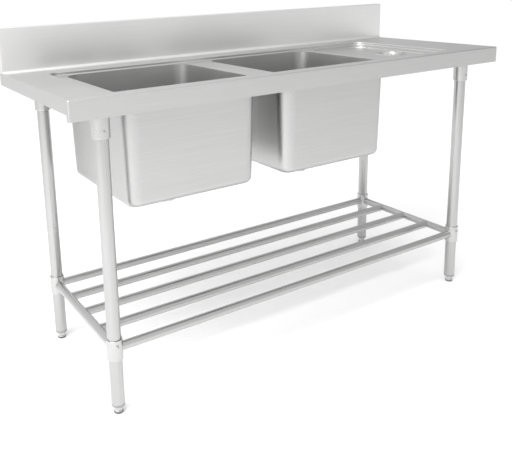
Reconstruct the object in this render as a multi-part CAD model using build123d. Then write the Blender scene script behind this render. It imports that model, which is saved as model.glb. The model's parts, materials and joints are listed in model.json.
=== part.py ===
from build123d import *
import math
import os

# Catering sink bench: two deep bowls and a shallow third compartment in one pressed top, with a
# splashback, four round legs on levelling feet and a tubular pot shelf that clamps to the legs.
# Millimetres. +X runs to the right along the bench, +Y to the back, +Z up.
# The origin is on the floor, under the middle of the bench.

# ---- driving dimensions -------------------------------------------------------------------------
LENGTH = 1600.0
DEPTH = 600.0
HEIGHT = 900.0
SPLASH_HEIGHT = 140.0
SPLASH_DEPTH = 40.0
SHEET = 1.5
APRON_HEIGHT = 53.0
END_HEIGHT = 37.0
HEM = 14.0
EDGE_RADIUS = 4.0

# The top is sunk inside a raised rim. Each rim width is measured from the outside of the bench.
RIM_FRONT = 42.0
RIM_LEFT = 114.0
RIM_RIGHT = 200.0
RIM_BACK = 114.0
SUNK_DEPTH = 12.0
SUNK_CORNER = 32.0

BOWL_LENGTH = 420.0
BOWL_WIDTH = 428.0
BOWL_DEPTH = 310.0
BOWL_CORNER = 42.0
BOWL_FLOOR_RADIUS = 20.0
BOWL_DRAFT = 1.5
BOWL_FLANGE = 9.0
BOWL_FRONT_GAP = 8.0
BOWL_LEFT_GAP = 48.0
BOWL_SPACING = 517.0

PAN_LENGTH = 256.0
PAN_WIDTH = 418.0
PAN_DEPTH = 10.0
PAN_CORNER = 45.0
PAN_RIGHT_GAP = 10.0

LEG_RADIUS = 19.0
LEG_WALL = 1.5
LEG_INSET_X = 105.0
LEG_INSET_Y = 68.0
LEG_BOTTOM = 30.0

SOCKET_RADIUS = 24.0
SOCKET_BOTTOM = 782.0
SOCKET_PLATE = 68.0
SOCKET_PLATE_THICKNESS = 4.0
SOCKET_BOLT_OFFSET = 26.5
CHANNEL_BOTTOM = 870.0
CHANNEL_WIDTH = 64.0

SHELF_HEIGHT = 195.0
RAIL_RADIUS = 12.7
RAIL_WALL = 1.2
COPE_CLEARANCE = 0.02  # a shelf tube's coped end stands this far off the cross tube
RAIL_COUNT = 5
SLEEVE_RADIUS = 22.2
SLEEVE_HEIGHT = 60.0
SLEEVE_CLEARANCE = 0.3

FOOT_PAD_RADIUS = 13.0
FOOT_PAD_HEIGHT = 4.0
FOOT_STUB_RADIUS = 11.5
FOOT_STUB_TOP = 19.6
FOOT_COLLAR_BOTTOM = 20.0
FOOT_THREAD_RADIUS = 6.0
FOOT_THREAD_TOP = 74.0
RUNNING_CLEARANCE = 0.05

WASTE_HOLE_RADIUS = 43.5
WASTE_FLANGE_RADIUS = 56.0
WASTE_CUP_RADIUS = 42.5
WASTE_WALL = 1.5
WASTE_CUP_DEPTH = 42.0
WASTE_TAIL_RADIUS = 23.9
WASTE_TAIL_BORE = 20.5
WASTE_TAIL_LENGTH = 20.0
BASKET_RADIUS = 36.0
PAN_WASTE_X = 522.0
# Between two shelf tubes, so that a straight pipe can come up to each waste.
WASTE_Y = -58.0

# ---- places worked out from the dimensions -------------------------------------------------------
LEFT = -LENGTH / 2
RIGHT = LENGTH / 2
FRONT = -DEPTH / 2
BACK = DEPTH / 2
SPLASH_FRONT = BACK - SPLASH_DEPTH
SUNK_TOP = HEIGHT - SUNK_DEPTH
SUNK_UNDER = SUNK_TOP - SHEET
SUNK_BOX = (LEFT + RIM_LEFT, RIGHT - RIM_RIGHT, FRONT + RIM_FRONT, BACK - RIM_BACK)
BOWL_Y = SUNK_BOX[2] + BOWL_FRONT_GAP + BOWL_WIDTH / 2
LEFT_BOWL_X = SUNK_BOX[0] + BOWL_LEFT_GAP + BOWL_LENGTH / 2
CENTRE_BOWL_X = LEFT_BOWL_X + BOWL_SPACING
BOWL_FLOOR = SUNK_UNDER - BOWL_DEPTH
PAN_X = SUNK_BOX[1] - PAN_RIGHT_GAP - PAN_LENGTH / 2
PAN_Y = (SUNK_BOX[2] + SUNK_BOX[3]) / 2
PAN_FLOOR = SUNK_UNDER - PAN_DEPTH
LEG_X = LENGTH / 2 - LEG_INSET_X
LEG_Y = DEPTH / 2 - LEG_INSET_Y
SOCKET_TOP = CHANNEL_BOTTOM - SOCKET_PLATE_THICKNESS
LEG_PLACES = {
    "front_left": (-LEG_X, -LEG_Y),
    "front_right": (LEG_X, -LEG_Y),
    "back_left": (-LEG_X, LEG_Y),
    "back_right": (LEG_X, LEG_Y),
}


def block(x_range, y_range, z_range):
    """A plain box between two limits on each axis."""
    size = [high - low for low, high in (x_range, y_range, z_range)]
    middle = [(high + low) / 2 for low, high in (x_range, y_range, z_range)]
    return Pos(*middle) * Box(*size)


def rounded_block(centre, length, width, radius, z_range):
    """An upright block with rounded vertical corners."""
    low, high = z_range
    outline = Pos(centre[0], centre[1], low) * RectangleRounded(length, width, radius)
    return extrude(outline, amount=high - low)


def upright_cylinder(centre, radius, z_range):
    low, high = z_range
    return Pos(centre[0], centre[1], (low + high) / 2) * Cylinder(radius, high - low)


def upright_tube(centre, outer, inner, z_range):
    low, high = z_range
    hole = upright_cylinder(centre, inner, (low - 1, high + 1))
    return upright_cylinder(centre, outer, z_range) - hole


def turned(profile, centre, z):
    """A profile of (radius, height) points, turned about an upright axis."""
    points = [(radius, 0, height) for radius, height in profile]
    face = make_face(Polyline(*points, close=True))
    return Pos(centre[0], centre[1], z) * revolve(face, Axis.Z)


def edges_at(shape, height):
    """The edges that lie wholly at one height."""
    found = []
    for edge in shape.edges():
        box = edge.bounding_box()
        if abs(box.min.Z - height) < 0.01 and abs(box.max.Z - height) < 0.01:
            found.append(edge)
    return found


# ---- pressed top ---------------------------------------------------------------------------------
def bench_top():
    low = HEIGHT - APRON_HEIGHT
    outer = block((LEFT, RIGHT), (FRONT, BACK), (low, HEIGHT))
    outer = fillet(outer.edges().filter_by(Axis.Z), EDGE_RADIUS)
    top_edges = [e for e in edges_at(outer, HEIGHT) if e.center().Y < BACK - 1]
    outer = fillet(top_edges, EDGE_RADIUS - 0.5)
    inner = block(
        (LEFT + SHEET, RIGHT - SHEET),
        (FRONT + SHEET, BACK - SHEET),
        (low - 1, HEIGHT - SHEET),
    )
    inner = fillet(inner.edges().filter_by(Axis.Z), EDGE_RADIUS - SHEET)
    inner_top = [e for e in edges_at(inner, HEIGHT - SHEET) if e.center().Y < BACK - SHEET - 1]
    inner = fillet(inner_top, EDGE_RADIUS - SHEET - 0.5)
    shell = outer - inner

    # The ends and the back are shallower than the front apron.
    end_low = HEIGHT - END_HEIGHT
    shell -= block((LEFT - 1, RIGHT + 1), (FRONT + HEM, BACK + 1), (low - 1, end_low))

    # Every lower edge is folded in as a safe hem.
    inside = block((LEFT + 1, RIGHT - 1), (FRONT + 1, FRONT + HEM), (low, low + SHEET))
    shell += inside
    for x_range in ((LEFT + 1, LEFT + HEM), (RIGHT - HEM, RIGHT - 1)):
        shell += block(x_range, (FRONT + HEM, BACK - HEM), (end_low, end_low + SHEET))
    shell += block((LEFT + 1, RIGHT - 1), (BACK - HEM, BACK - 1), (end_low, end_low + SHEET))

    # The sunk part: a shallow tray inside the raised rim.
    x0, x1, y0, y1 = SUNK_BOX
    centre = ((x0 + x1) / 2, (y0 + y1) / 2)
    length = x1 - x0
    width = y1 - y0
    tray = rounded_block(
        centre, length + 2 * SHEET, width + 2 * SHEET, SUNK_CORNER + SHEET, (SUNK_UNDER, HEIGHT)
    )
    tray = fillet(edges_at(tray, SUNK_UNDER), EDGE_RADIUS + SHEET)
    hollow = rounded_block(centre, length, width, SUNK_CORNER, (SUNK_TOP, HEIGHT + 5))
    hollow = fillet(edges_at(hollow, SUNK_TOP), EDGE_RADIUS)
    top = shell - rounded_block(centre, length, width, SUNK_CORNER, (SUNK_UNDER, HEIGHT + 5))
    top += tray - hollow
    lip = []
    for edge in edges_at(top, HEIGHT):
        middle = edge.center()
        if x0 - 1 < middle.X < x1 + 1 and y0 - 1 < middle.Y < y1 + 1:
            lip.append(edge)
    top = fillet(lip, 3.0)

    # Cut-outs for the two bowls and for the third compartment.
    for x in (LEFT_BOWL_X, CENTRE_BOWL_X):
        top -= rounded_block(
            (x, BOWL_Y), BOWL_LENGTH, BOWL_WIDTH, BOWL_CORNER, (SUNK_UNDER - 5, SUNK_TOP + 1)
        )
    top -= rounded_block(
        (PAN_X, PAN_Y), PAN_LENGTH, PAN_WIDTH, PAN_CORNER, (SUNK_UNDER - 5, SUNK_TOP + 1)
    )
    return top


def splashback():
    """Upstand folded from one sheet, coved into the top and open towards the wall."""
    top = HEIGHT + SPLASH_HEIGHT
    cove = 9.0
    with BuildSketch(Plane.YZ) as section:
        with BuildLine():
            foot = SPLASH_FRONT - cove
            rise = HEIGHT + cove
            Line((foot, HEIGHT), (SPLASH_FRONT + SHEET, HEIGHT))
            Line((SPLASH_FRONT + SHEET, HEIGHT), (SPLASH_FRONT + SHEET, top - SHEET))
            Line((SPLASH_FRONT + SHEET, top - SHEET), (BACK - SHEET, top - SHEET))
            Line((BACK - SHEET, top - SHEET), (BACK - SHEET, top - 30))
            Line((BACK - SHEET, top - 30), (BACK, top - 30))
            Line((BACK, top - 30), (BACK, top))
            Line((BACK, top), (SPLASH_FRONT, top))
            Line((SPLASH_FRONT, top), (SPLASH_FRONT, rise))
            RadiusArc((SPLASH_FRONT, rise), (foot, HEIGHT), cove)
        make_face()
    length = LENGTH - 2 * SHEET
    body = Pos(-length / 2, 0, 0) * extrude(section.sketch, amount=length)
    front_top = [
        e for e in edges_at(body, top) if e.length > 1000 and abs(e.center().Y - SPLASH_FRONT) < 0.1
    ]
    return fillet(front_top, 2.5)


def splash_end(x_low):
    """Welded cap that closes one end of the splashback."""
    cap = block((x_low, x_low + SHEET), (SPLASH_FRONT, BACK), (HEIGHT, HEIGHT + SPLASH_HEIGHT))
    corner = [
        e
        for e in cap.edges().filter_by(Axis.X)
        if e.center().Z > HEIGHT + 10 and e.center().Y < SPLASH_FRONT + 1
    ]
    return fillet(corner, 2.5)


# ---- compartments --------------------------------------------------------------------------------
def tapered_basin(centre, length, width, corner, depth, floor_radius, top):
    """The outside or the inside of a basin, wide at the top and rounded at the floor."""
    outline = Pos(centre[0], centre[1], top) * RectangleRounded(length, width, corner)
    basin = extrude(outline, amount=-depth, taper=BOWL_DRAFT)
    return fillet(edges_at(basin, top - depth), floor_radius)


def basin(centre, length, width, corner, depth, floor_radius, waste):
    """A thin basin with a flange that is welded under the sunk top, and a hole for its waste."""
    outer = tapered_basin(
        centre, length + 2 * SHEET, width + 2 * SHEET, corner + SHEET, depth, floor_radius, SUNK_UNDER
    )
    flange = rounded_block(
        centre,
        length + 2 * BOWL_FLANGE,
        width + 2 * BOWL_FLANGE,
        corner + BOWL_FLANGE,
        (SUNK_UNDER - SHEET, SUNK_UNDER),
    )
    inner = tapered_basin(
        centre, length, width, corner, depth - SHEET, floor_radius - SHEET, SUNK_UNDER
    )
    shell = outer + flange - inner
    floor = SUNK_UNDER - depth
    return shell - upright_cylinder(waste, WASTE_HOLE_RADIUS, (floor - 5, floor + 5))


# ---- legs and their sockets ----------------------------------------------------------------------
def channel(x_low, x_high, z_top, y_low, y_high):
    """A stiffening channel, open at the top, welded across the underside."""
    outer = block((x_low, x_high), (y_low, y_high), (CHANNEL_BOTTOM, z_top))
    inner = block(
        (x_low + SHEET, x_high - SHEET), (y_low - 1, y_high + 1), (CHANNEL_BOTTOM + SHEET, z_top + 1)
    )
    return outer - inner


def bolt_places(place):
    x, y = place
    offsets = (-SOCKET_BOLT_OFFSET, SOCKET_BOLT_OFFSET)
    return [(x + dx, y + dy) for dx in offsets for dy in offsets]


def leg_socket(place):
    """A turned socket on a square plate. The leg goes up into it."""
    plate = rounded_block(place, SOCKET_PLATE, SOCKET_PLATE, 8, (SOCKET_TOP, CHANNEL_BOTTOM))
    cup = upright_cylinder(place, SOCKET_RADIUS, (SOCKET_BOTTOM, SOCKET_TOP))
    cup = fillet(edges_at(cup, SOCKET_BOTTOM), 2.0)
    socket = plate + cup
    socket -= upright_cylinder(place, LEG_RADIUS + 0.1, (SOCKET_BOTTOM - 1, SOCKET_TOP))
    screw_height = SOCKET_BOTTOM + 22
    hole = Pos(place[0], place[1], screw_height) * Rot(90, 0, 0) * Cylinder(4.0, 2 * SOCKET_RADIUS)
    outward = math.copysign(1, place[1])
    half = block(
        (place[0] - 30, place[0] + 30),
        tuple(sorted((place[1], place[1] + outward * 40))),
        (SOCKET_BOTTOM - 1, SOCKET_TOP),
    )
    socket -= hole & half
    for bolt in bolt_places(place):
        socket -= upright_cylinder(bolt, 3.3, (SOCKET_TOP - 1, CHANNEL_BOTTOM + 1))
    return socket


def socket_stud(place):
    return upright_cylinder(place, 3.0, (SOCKET_TOP - 8, CHANNEL_BOTTOM))


def socket_nut(place):
    nut = Pos(place[0], place[1], SOCKET_TOP - 5) * extrude(RegularPolygon(5.5, 6), amount=5)
    return nut - upright_cylinder(place, 3.05, (SOCKET_TOP - 6, SOCKET_TOP + 1))


def grub_screw(place, height, reach_in, reach_out, toward):
    """A hexagon socket set screw, lying along Y, that bears on a leg."""
    length = reach_out - reach_in
    y = place[1] + toward * (reach_in + reach_out) / 2
    screw = Pos(place[0], y, height) * Rot(90, 0, 0) * Cylinder(3.95, length)
    mouth_y = place[1] + toward * (reach_out - 1.5)
    key = Pos(place[0], mouth_y, height) * Rot(90, 0, 0) * extrude(RegularPolygon(2.2, 6), 1.6, both=True)
    return screw - key


def leg(place):
    return upright_tube(place, LEG_RADIUS, LEG_RADIUS - LEG_WALL, (LEG_BOTTOM, SOCKET_TOP))


def foot_insert(place):
    """A plug in the end of the leg with a rounded collar and a threaded bore for the foot."""
    collar = upright_cylinder(place, LEG_RADIUS, (FOOT_COLLAR_BOTTOM, LEG_BOTTOM))
    collar = fillet(edges_at(collar, FOOT_COLLAR_BOTTOM), 5.0)
    plug = upright_cylinder(place, LEG_RADIUS - LEG_WALL - 0.05, (LEG_BOTTOM, LEG_BOTTOM + 32))
    bore = upright_cylinder(place, FOOT_THREAD_RADIUS, (0, LEG_BOTTOM + 40))
    return collar + plug - bore


def foot_stem(place):
    """Threaded stem with a round stub that has two flats for a spanner."""
    radius = FOOT_THREAD_RADIUS - RUNNING_CLEARANCE
    rod = upright_cylinder(place, radius, (FOOT_STUB_TOP - 0.5, FOOT_THREAD_TOP))
    rod = chamfer(edges_at(rod, FOOT_THREAD_TOP), 1.0)
    stub = upright_cylinder(place, FOOT_STUB_RADIUS, (FOOT_PAD_HEIGHT + 0.3, FOOT_STUB_TOP))
    stub = fillet(edges_at(stub, FOOT_STUB_TOP), 1.5)
    flat_low = FOOT_PAD_HEIGHT + 4
    for side in (-1, 1):
        y_range = sorted((place[1] + side * 9.5, place[1] + side * 20))
        stub -= block((place[0] - 20, place[0] + 20), tuple(y_range), (flat_low, flat_low + 7))
    pivot = upright_cylinder(place, 4.0, (FOOT_PAD_HEIGHT - 2.2, FOOT_PAD_HEIGHT + 1))
    return rod + stub + pivot


def foot_pad(place):
    """The part that stands on the floor, turning freely on the stem's pivot."""
    pad = upright_cylinder(place, FOOT_PAD_RADIUS, (0, FOOT_PAD_HEIGHT))
    pad = chamfer(edges_at(pad, 0), 0.6)
    pad = fillet(edges_at(pad, FOOT_PAD_HEIGHT), 1.0)
    return pad - upright_cylinder(place, 4.0 + RUNNING_CLEARANCE, (FOOT_PAD_HEIGHT - 2.5, FOOT_PAD_HEIGHT + 1))


# ---- pot shelf -----------------------------------------------------------------------------------
def lying_cylinder(axis, radius, low, high, across):
    """A cylinder along X or Y at shelf height, at a place across the other axis."""
    middle = (low + high) / 2
    if axis == "x":
        return Pos(middle, across, SHELF_HEIGHT) * Rot(0, 90, 0) * Cylinder(radius, high - low)
    return Pos(across, middle, SHELF_HEIGHT) * Rot(90, 0, 0) * Cylinder(radius, high - low)


def rail(axis, low, high, across, coped_by):
    """A shelf tube whose ends are coped to the round parts that it is welded to."""
    tube = lying_cylinder(axis, RAIL_RADIUS, low, high, across)
    tube -= lying_cylinder(axis, RAIL_RADIUS - RAIL_WALL, low - 1, high + 1, across)
    for cutter in coped_by:
        tube -= cutter
    return tube


def shelf_sleeve(place):
    low = SHELF_HEIGHT - SLEEVE_HEIGHT / 2
    high = SHELF_HEIGHT + SLEEVE_HEIGHT / 2
    sleeve = upright_cylinder(place, SLEEVE_RADIUS, (low, high))
    sleeve = fillet(edges_at(sleeve, low) + edges_at(sleeve, high), 1.0)
    sleeve -= upright_cylinder(place, LEG_RADIUS + SLEEVE_CLEARANCE, (low - 1, high + 1))
    toward = math.copysign(1, place[1])
    screw_height = SHELF_HEIGHT + SLEEVE_HEIGHT / 4
    hole = Pos(place[0], place[1] + toward * 15, screw_height) * Rot(90, 0, 0) * Cylinder(4.0, 30)
    return sleeve - hole


# ---- wastes --------------------------------------------------------------------------------------
def waste_body(place, floor):
    """Pressed cup with a flange in the basin and a threaded tail under it."""
    seat = WASTE_CUP_RADIUS - 4.0
    wall = seat - WASTE_WALL
    bottom = -WASTE_CUP_DEPTH
    tail = bottom - WASTE_TAIL_LENGTH
    profile = [
        (WASTE_FLANGE_RADIUS, SHEET),
        (WASTE_FLANGE_RADIUS - 2, SHEET + 1.4),
        (WASTE_CUP_RADIUS, SHEET + 1.4),
        (seat, -5.0),
        (wall, bottom + WASTE_WALL + 6),
        (wall - 6, bottom + WASTE_WALL),
        (WASTE_TAIL_BORE, bottom + WASTE_WALL),
        (WASTE_TAIL_BORE, tail),
        (WASTE_TAIL_RADIUS, tail),
        (WASTE_TAIL_RADIUS, bottom),
        (wall - 5, bottom),
        (wall + WASTE_WALL, bottom + 6),
        (WASTE_CUP_RADIUS, -7.0),
        (WASTE_CUP_RADIUS, SHEET),
    ]
    return turned(profile, place, floor)


def waste_gasket(place, floor):
    return upright_tube(place, WASTE_FLANGE_RADIUS - 3, WASTE_CUP_RADIUS + 0.5, (floor - 3.0, floor))


def waste_locknut(place, floor):
    """Ring nut that pulls the flange down from under the basin, with grip lugs round it."""
    high = floor - 3.0
    low = high - 9.0
    nut = upright_cylinder(place, WASTE_FLANGE_RADIUS - 4, (low, high))
    for index in range(8):
        angle = math.radians(45 * index)
        lug = (
            place[0] + (WASTE_FLANGE_RADIUS - 3) * math.cos(angle),
            place[1] + (WASTE_FLANGE_RADIUS - 3) * math.sin(angle),
        )
        nut += upright_cylinder(lug, 4.0, (low, high - 2))
    cone = turned(
        [(0, -4.0), (WASTE_CUP_RADIUS + 0.3, -4.0), (WASTE_CUP_RADIUS + 0.3, 1), (0, 1)], place, high
    )
    bore = upright_cylinder(place, WASTE_CUP_RADIUS + 0.3, (low - 1, high + 1))
    return nut - bore - cone


def strainer_basket(place, floor):
    """Perforated basket with a rolled lip, a centre post and a knob to lift it by."""
    top = SHEET - 1.0
    bottom = -WASTE_CUP_DEPTH + WASTE_WALL + 8.0
    wall = 1.0
    foot = BASKET_RADIUS - 5.5
    profile = [
        (BASKET_RADIUS + 3.6, top),
        (BASKET_RADIUS + 1.0, top + 1.2),
        (BASKET_RADIUS - 1.0, top),
        (BASKET_RADIUS - wall - 0.6, top - 3),
        (foot - wall, bottom + wall + 3),
        (foot - wall - 3, bottom + wall),
        (0, bottom + wall),
        (0, bottom),
        (foot - 2, bottom),
        (foot, bottom + 3),
        (BASKET_RADIUS - 0.6, top - 4),
        (BASKET_RADIUS + 0.4, top - 2),
    ]
    basket = turned(profile, place, floor)
    for ring_radius, count in ((11.0, 6), (20.0, 12)):
        for index in range(count):
            angle = 2 * math.pi * index / count
            hole = (
                place[0] + ring_radius * math.cos(angle),
                place[1] + ring_radius * math.sin(angle),
            )
            basket -= upright_cylinder(hole, 1.8, (floor + bottom - 1, floor + bottom + wall + 1))
    slot_count = 12
    for index in range(slot_count):
        slot = Box(12, 3.0, 16)
        slot = Pos(BASKET_RADIUS - 3, 0, floor + bottom / 2 - 1) * slot
        basket -= Pos(place[0], place[1], 0) * Rot(0, 0, 360 * index / slot_count) * slot
    post = upright_cylinder(place, 3.0, (floor + bottom, floor + top - 5))
    knob = upright_cylinder(place, 7.5, (floor + top - 6, floor + top - 0.5))
    knob = fillet(knob.edges(), 1.5)
    return basket + post + knob


def basket_stopper(place, floor):
    """Rubber disc under the basket that closes the tail."""
    high = floor - WASTE_CUP_DEPTH + WASTE_WALL + 8.0
    low = floor - WASTE_CUP_DEPTH + WASTE_WALL + 0.4
    disc = upright_cylinder(place, 25.0, (low, low + 3.5))
    disc = fillet(edges_at(disc, low), 1.0)
    return disc + upright_cylinder(place, 8.0, (low + 3, high))


# ---- assembly ------------------------------------------------------------------------------------
def rail_places():
    step = 2 * LEG_Y / (RAIL_COUNT - 1)
    return [-LEG_Y + step * index for index in range(RAIL_COUNT)]


def shelf_parts():
    parts = {}
    sleeves = {name: upright_cylinder(place, SLEEVE_RADIUS, (0, 400)) for name, place in LEG_PLACES.items()}
    cope_radius = RAIL_RADIUS + COPE_CLEARANCE
    crosses = {
        "left": lying_cylinder("y", cope_radius, -LEG_Y, LEG_Y, -LEG_X),
        "right": lying_cylinder("y", cope_radius, -LEG_Y, LEG_Y, LEG_X),
    }
    for side, x in (("left", -LEG_X), ("right", LEG_X)):
        ends = (sleeves["front_" + side], sleeves["back_" + side])
        parts["shelf_cross_" + side] = rail("y", -LEG_Y, LEG_Y, x, ends)
    names = ("shelf_rail_front", "shelf_rail_2", "shelf_rail_3", "shelf_rail_4", "shelf_rail_back")
    for name, y in zip(names, rail_places()):
        if name.endswith("front"):
            ends = (sleeves["front_left"], sleeves["front_right"])
        elif name.endswith("back"):
            ends = (sleeves["back_left"], sleeves["back_right"])
        else:
            ends = (crosses["left"], crosses["right"])
        parts[name] = rail("x", -LEG_X, LEG_X, y, ends)
    for name, place in LEG_PLACES.items():
        parts["shelf_sleeve_" + name] = shelf_sleeve(place)
    return parts


def waste_parts():
    parts = {}
    outlets = {
        "left": ((LEFT_BOWL_X, WASTE_Y), BOWL_FLOOR),
        "centre": ((CENTRE_BOWL_X, WASTE_Y), BOWL_FLOOR),
        "pan": ((PAN_WASTE_X, WASTE_Y), PAN_FLOOR),
    }
    for name, (place, floor) in outlets.items():
        parts["waste_body_" + name] = waste_body(place, floor)
        parts["waste_gasket_" + name] = waste_gasket(place, floor)
        parts["waste_locknut_" + name] = waste_locknut(place, floor)
        parts["strainer_basket_" + name] = strainer_basket(place, floor)
        parts["basket_stopper_" + name] = basket_stopper(place, floor)
    return parts


def all_parts():
    parts = {"bench_top": bench_top(), "splashback": splashback()}
    parts["splash_end_left"] = splash_end(LEFT)
    parts["splash_end_right"] = splash_end(RIGHT - SHEET)

    for name, x in (("left_bowl", LEFT_BOWL_X), ("centre_bowl", CENTRE_BOWL_X)):
        parts[name] = basin(
            (x, BOWL_Y),
            BOWL_LENGTH,
            BOWL_WIDTH,
            BOWL_CORNER,
            BOWL_DEPTH,
            BOWL_FLOOR_RADIUS,
            (x, WASTE_Y),
        )
    parts["right_pan"] = basin(
        (PAN_X, PAN_Y), PAN_LENGTH, PAN_WIDTH, PAN_CORNER, PAN_DEPTH, 5.0, (PAN_WASTE_X, WASTE_Y)
    )

    y_low = FRONT + SHEET
    y_high = BACK - HEM
    bowl_gap_left = LEFT_BOWL_X + BOWL_LENGTH / 2 + BOWL_FLANGE
    bowl_gap_right = CENTRE_BOWL_X - BOWL_LENGTH / 2 - BOWL_FLANGE
    middle = (bowl_gap_left + bowl_gap_right) / 2
    half = CHANNEL_WIDTH / 2
    parts["channel_left"] = channel(-LEG_X - half, -LEG_X + half, SUNK_UNDER, y_low, y_high)
    parts["channel_middle"] = channel(middle - half, middle + half, SUNK_UNDER, y_low, y_high)
    clear_of_fold = y_low + EDGE_RADIUS
    parts["channel_right"] = channel(
        LEG_X - half, LEG_X + half, HEIGHT - SHEET, clear_of_fold, y_high
    )

    bolts = [bolt for place in LEG_PLACES.values() for bolt in bolt_places(place)]
    parts["socket_studs"] = Compound(children=[socket_stud(bolt) for bolt in bolts])
    parts["socket_nuts"] = Compound(children=[socket_nut(bolt) for bolt in bolts])
    socket_screws = []
    sleeve_screws = []
    for place in LEG_PLACES.values():
        toward = math.copysign(1, place[1])
        height = SOCKET_BOTTOM + 22
        socket_screws.append(grub_screw(place, height, LEG_RADIUS + 0.1, SOCKET_RADIUS + 0.5, toward))
        height = SHELF_HEIGHT + SLEEVE_HEIGHT / 4
        inner = LEG_RADIUS + SLEEVE_CLEARANCE
        sleeve_screws.append(grub_screw(place, height, inner, SLEEVE_RADIUS + 3.0, toward))
    parts["socket_screws"] = Compound(children=socket_screws)
    parts["sleeve_screws"] = Compound(children=sleeve_screws)

    for name, place in LEG_PLACES.items():
        parts["leg_socket_" + name] = leg_socket(place)
        parts["leg_" + name] = leg(place)
        parts["foot_insert_" + name] = foot_insert(place)
        parts["foot_stem_" + name] = foot_stem(place)
        parts["foot_pad_" + name] = foot_pad(place)

    parts.update(shelf_parts())
    parts.update(waste_parts())
    return parts


os.makedirs("parts", exist_ok=True)
for part_name, shape in all_parts().items():
    export_step(shape, "parts/" + part_name + ".step")
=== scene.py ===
import json
import math

import bpy
from mathutils import Matrix, Vector

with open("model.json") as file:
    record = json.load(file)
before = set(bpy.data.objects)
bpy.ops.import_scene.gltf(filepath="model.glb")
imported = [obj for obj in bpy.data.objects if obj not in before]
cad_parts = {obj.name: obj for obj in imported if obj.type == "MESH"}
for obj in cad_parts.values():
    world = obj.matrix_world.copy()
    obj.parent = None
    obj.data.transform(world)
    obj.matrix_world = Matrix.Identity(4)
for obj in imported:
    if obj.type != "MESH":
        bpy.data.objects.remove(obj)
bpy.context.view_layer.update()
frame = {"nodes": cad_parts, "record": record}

# ---- camera ------------------------------------------------------------------
CAMERA_PLACE = Vector((-1.294, -1.720, 1.168))
CAMERA_YAW = 31.35
CAMERA_PITCH = 12.38
CAMERA_ROLL = -1.66
FOCAL_PX = 646.5
LENS_CENTRE = (205.0, 120.0)
IMAGE_SIZE = (512.0, 450.0)
SENSOR_WIDTH = 36.0

# ---- tones -------------------------------------------------------------------
FLOOR_TONE = 0.97
FLOOR_RADIUS = 60
WORLD_STRENGTH = 1.35
# How bright the studio is towards each side: (direction along X from -1 to 1, tone).
WORLD_TONES = ((-1.0, 0.80), (0.1, 0.92), (0.5, 0.74), (0.72, 0.48), (0.88, 0.28))
# The studio is this much as bright beyond the bench, from START to END along Y.
FAR_SIDE_TONE = 0.98
FAR_SIDE_START = 0.55
FAR_SIDE_END = 0.95


def steel(name, tone, roughness, grain, depth, spread=0.08, mottle=0.05):
    """Satin metal: grain stretched along one axis, and broad handling marks in its roughness."""
    mat = bpy.data.materials.new(name)
    mat.use_nodes = True
    tree = mat.node_tree
    shader = tree.nodes["Principled BSDF"]
    shader.inputs["Metallic"].default_value = 1.0

    coords = tree.nodes.new("ShaderNodeTexCoord")
    stretch = tree.nodes.new("ShaderNodeMapping")
    stretch.inputs["Scale"].default_value = grain
    tree.links.new(coords.outputs["Object"], stretch.inputs["Vector"])
    lines = tree.nodes.new("ShaderNodeTexNoise")
    lines.inputs["Scale"].default_value = 1.0
    lines.inputs["Detail"].default_value = 5.0
    lines.inputs["Roughness"].default_value = 0.65
    tree.links.new(stretch.outputs["Vector"], lines.inputs["Vector"])

    marks = tree.nodes.new("ShaderNodeTexNoise")
    marks.inputs["Scale"].default_value = 7.0
    marks.inputs["Detail"].default_value = 4.0
    marks.inputs["Roughness"].default_value = 0.6
    tree.links.new(coords.outputs["Object"], marks.inputs["Vector"])

    rough = tree.nodes.new("ShaderNodeMapRange")
    rough.inputs["From Min"].default_value = 0.25
    rough.inputs["From Max"].default_value = 0.75
    rough.inputs["To Min"].default_value = roughness - spread
    rough.inputs["To Max"].default_value = roughness + spread
    tree.links.new(marks.outputs["Fac"], rough.inputs["Value"])
    tree.links.new(rough.outputs["Result"], shader.inputs["Roughness"])

    ramp = tree.nodes.new("ShaderNodeValToRGB")
    dark = max(tone - mottle, 0.0)
    bright = min(tone + mottle, 1.0)
    ramp.color_ramp.elements[0].position = 0.3
    ramp.color_ramp.elements[0].color = (dark, dark, dark * 0.995, 1)
    ramp.color_ramp.elements[1].position = 0.7
    ramp.color_ramp.elements[1].color = (bright, bright, bright * 0.995, 1)
    tree.links.new(lines.outputs["Fac"], ramp.inputs["Fac"])
    tree.links.new(ramp.outputs["Color"], shader.inputs["Base Color"])

    bump = tree.nodes.new("ShaderNodeBump")
    bump.inputs["Strength"].default_value = 0.35
    bump.inputs["Distance"].default_value = depth
    tree.links.new(lines.outputs["Fac"], bump.inputs["Height"])
    tree.links.new(bump.outputs["Normal"], shader.inputs["Normal"])
    return mat


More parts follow.
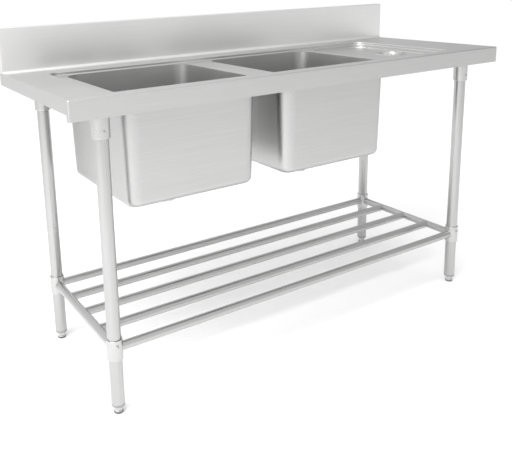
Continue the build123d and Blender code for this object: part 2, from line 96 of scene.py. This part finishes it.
def moulded(name, colour, roughness, grain_size=900.0, depth=0.00005):
    """Moulded plastic or rubber with a fine sparked surface and a little wear."""
    mat = bpy.data.materials.new(name)
    mat.use_nodes = True
    tree = mat.node_tree
    shader = tree.nodes["Principled BSDF"]
    coords = tree.nodes.new("ShaderNodeTexCoord")
    fine = tree.nodes.new("ShaderNodeTexNoise")
    fine.inputs["Scale"].default_value = grain_size
    fine.inputs["Detail"].default_value = 3.0
    tree.links.new(coords.outputs["Object"], fine.inputs["Vector"])
    broad = tree.nodes.new("ShaderNodeTexNoise")
    broad.inputs["Scale"].default_value = 40.0
    broad.inputs["Detail"].default_value = 3.0
    tree.links.new(coords.outputs["Object"], broad.inputs["Vector"])
    ramp = tree.nodes.new("ShaderNodeValToRGB")
    ramp.color_ramp.elements[0].position = 0.3
    ramp.color_ramp.elements[0].color = (*[c * 0.85 for c in colour], 1)
    ramp.color_ramp.elements[1].position = 0.75
    ramp.color_ramp.elements[1].color = (*[min(c * 1.12, 1) for c in colour], 1)
    tree.links.new(broad.outputs["Fac"], ramp.inputs["Fac"])
    tree.links.new(ramp.outputs["Color"], shader.inputs["Base Color"])
    rough = tree.nodes.new("ShaderNodeMapRange")
    rough.inputs["From Min"].default_value = 0.3
    rough.inputs["From Max"].default_value = 0.7
    rough.inputs["To Min"].default_value = roughness - 0.08
    rough.inputs["To Max"].default_value = roughness + 0.08
    tree.links.new(broad.outputs["Fac"], rough.inputs["Value"])
    tree.links.new(rough.outputs["Result"], shader.inputs["Roughness"])
    bump = tree.nodes.new("ShaderNodeBump")
    bump.inputs["Strength"].default_value = 0.3
    bump.inputs["Distance"].default_value = depth
    tree.links.new(fine.outputs["Fac"], bump.inputs["Height"])
    tree.links.new(bump.outputs["Normal"], shader.inputs["Normal"])
    return mat


# Grain: noise cells per metre along X, Y and Z.
ALONG_X = (4.0, 700.0, 700.0)
ALONG_Y = (700.0, 4.0, 700.0)
ALONG_Z = (700.0, 700.0, 4.0)
TURNED = (90.0, 90.0, 1500.0)
ALL_WAYS = (300.0, 300.0, 300.0)

LOOKS = {
    "top_steel": steel("sheet_steel", 0.53, 0.40, ALONG_X, 0.000015, 0.05, 0.03),
    # Painted light: the splashback is the same sheet steel as the deck, but its tone is raised from 0.53
    # to 0.76 so it reads brighter where it catches the light.
    "splash_steel": steel("splash_steel_painted_lighter", 0.76, 0.38, ALONG_X, 0.000015, 0.05, 0.03),
    "bowl_steel": steel("bowl_steel", 0.50, 0.38, ALONG_X, 0.000015, 0.05, 0.03),
    "channel_steel": steel("channel_steel", 0.55, 0.45, ALONG_Y, 0.00004),
    "cast_steel": steel("turned_steel", 0.52, 0.30, TURNED, 0.00002),
    "foot_steel": steel("foot_steel", 0.55, 0.30, TURNED, 0.00002),
    "fastener_steel": steel("fastener_steel", 0.5, 0.3, ALL_WAYS, 0.00002),
    "waste_steel": steel("polished_steel", 0.55, 0.28, TURNED, 0.00001, 0.05, 0.03),
    "foot_insert_plastic": moulded("foot_insert_plastic", (0.30, 0.30, 0.30), 0.5),
    "foot_pad_plastic": moulded("foot_pad_plastic", (0.12, 0.12, 0.12), 0.55),
    "rubber": moulded("black_rubber", (0.025, 0.025, 0.025), 0.6),
    "locknut_plastic": moulded("locknut_plastic", (0.70, 0.70, 0.68), 0.45),
}
TUBES = {
    "leg_": steel("tube_steel_upright", 0.46, 0.30, ALONG_Z, 0.000006, 0.03, 0.025),
    "shelf_rail_": steel("tube_steel_along", 0.46, 0.30, ALONG_X, 0.000006, 0.03, 0.025),
    "shelf_cross_": steel("tube_steel_across", 0.46, 0.30, ALONG_Y, 0.000006, 0.03, 0.025),
}

slot_of = {s["node"]: s["material_slot"] for s in frame["record"]["subparts"]}
for node, obj in frame["nodes"].items():
    slot = slot_of[node]
    look = LOOKS.get(slot)
    if look is None:
        look = next(mat for prefix, mat in TUBES.items() if node.startswith(prefix))
    obj.data.materials.clear()
    obj.data.materials.append(look)

# ---- studio ------------------------------------------------------------------
world = bpy.data.worlds.new("studio")
bpy.context.scene.world = world
world.use_nodes = True
tree = world.node_tree
sky = tree.nodes["Background"]
way = tree.nodes.new("ShaderNodeTexCoord")
parts = tree.nodes.new("ShaderNodeSeparateXYZ")
tree.links.new(way.outputs["Generated"], parts.inputs["Vector"])
side = tree.nodes.new("ShaderNodeMapRange")
side.inputs["From Min"].default_value = -1.0
side.inputs["From Max"].default_value = 1.0
tree.links.new(parts.outputs["X"], side.inputs["Value"])
tones = tree.nodes.new("ShaderNodeValToRGB")
tones.color_ramp.interpolation = "B_SPLINE"
while len(tones.color_ramp.elements) < len(WORLD_TONES):
    tones.color_ramp.elements.new(0.5)
for stop, (toward, tone) in zip(tones.color_ramp.elements, WORLD_TONES):
    stop.position = (toward + 1) / 2
    stop.color = (tone, tone, tone, 1)
tree.links.new(side.outputs["Result"], tones.inputs["Fac"])
tree.links.new(tones.outputs["Color"], sky.inputs["Color"])
far = tree.nodes.new("ShaderNodeMapRange")
far.interpolation_type = "SMOOTHSTEP"
far.inputs["From Min"].default_value = FAR_SIDE_START
far.inputs["From Max"].default_value = FAR_SIDE_END
far.inputs["To Min"].default_value = WORLD_STRENGTH
far.inputs["To Max"].default_value = WORLD_STRENGTH * FAR_SIDE_TONE
tree.links.new(parts.outputs["Y"], far.inputs["Value"])
tree.links.new(far.outputs["Result"], sky.inputs["Strength"])

floor_mat = bpy.data.materials.new("studio_floor")
floor_mat.use_nodes = True
floor_shader = floor_mat.node_tree.nodes["Principled BSDF"]
floor_shader.inputs["Base Color"].default_value = (FLOOR_TONE, FLOOR_TONE, FLOOR_TONE, 1)
floor_shader.inputs["Roughness"].default_value = 0.95
floor_shader.inputs["Specular IOR Level"].default_value = 0.1
bpy.ops.mesh.primitive_circle_add(vertices=96, radius=FLOOR_RADIUS, fill_type="NGON", location=(0, 0, 0))
floor = bpy.context.object
floor.name = "studio_floor"
floor.data.materials.append(floor_mat)


def soft_light(name, place, aim, size, power):
    data = bpy.data.lights.new(name, "AREA")
    data.shape = "RECTANGLE"
    data.size, data.size_y = size
    data.energy = power
    lamp = bpy.data.objects.new(name, data)
    bpy.context.scene.collection.objects.link(lamp)
    lamp.location = place
    lamp.rotation_mode = "QUATERNION"
    lamp.rotation_quaternion = (Vector(aim) - Vector(place)).to_track_quat("-Z", "Y")
    lamp.visible_camera = False
    return lamp


soft_light("left_box", (-3.4, -1.0, 1.9), (0, 0, 0.6), (2.6, 2.2), 30)
soft_light("overhead", (-1.9, -0.9, 3.4), (-0.5, 0, 0.9), (2.4, 2.0), 95)

# ---- camera ------------------------------------------------------------------
yaw, pitch, roll = (math.radians(v) for v in (CAMERA_YAW, CAMERA_PITCH, CAMERA_ROLL))
ahead = Vector((math.sin(yaw), math.cos(yaw), 0))
across = Vector((math.cos(yaw), -math.sin(yaw), 0))
look = ahead * math.cos(pitch) - Vector((0, 0, math.sin(pitch)))
up = Vector((0, 0, math.cos(pitch))) + ahead * math.sin(pitch)
right = across * math.cos(roll) + up * math.sin(roll)
over = up * math.cos(roll) - across * math.sin(roll)
camera_data = bpy.data.cameras.new("camera")
camera = bpy.data.objects.new("camera", camera_data)
bpy.context.scene.collection.objects.link(camera)
turn = Matrix((right, over, -look)).transposed().to_4x4()
camera.matrix_world = Matrix.Translation(CAMERA_PLACE) @ turn
camera_data.sensor_width = SENSOR_WIDTH
camera_data.lens = FOCAL_PX / IMAGE_SIZE[0] * SENSOR_WIDTH
camera_data.shift_x = (IMAGE_SIZE[0] / 2 - LENS_CENTRE[0]) / IMAGE_SIZE[0]
camera_data.shift_y = (LENS_CENTRE[1] - IMAGE_SIZE[1] / 2) / IMAGE_SIZE[0]
bpy.context.scene.camera = camera
bpy.context.scene.view_settings.view_transform = "Standard"
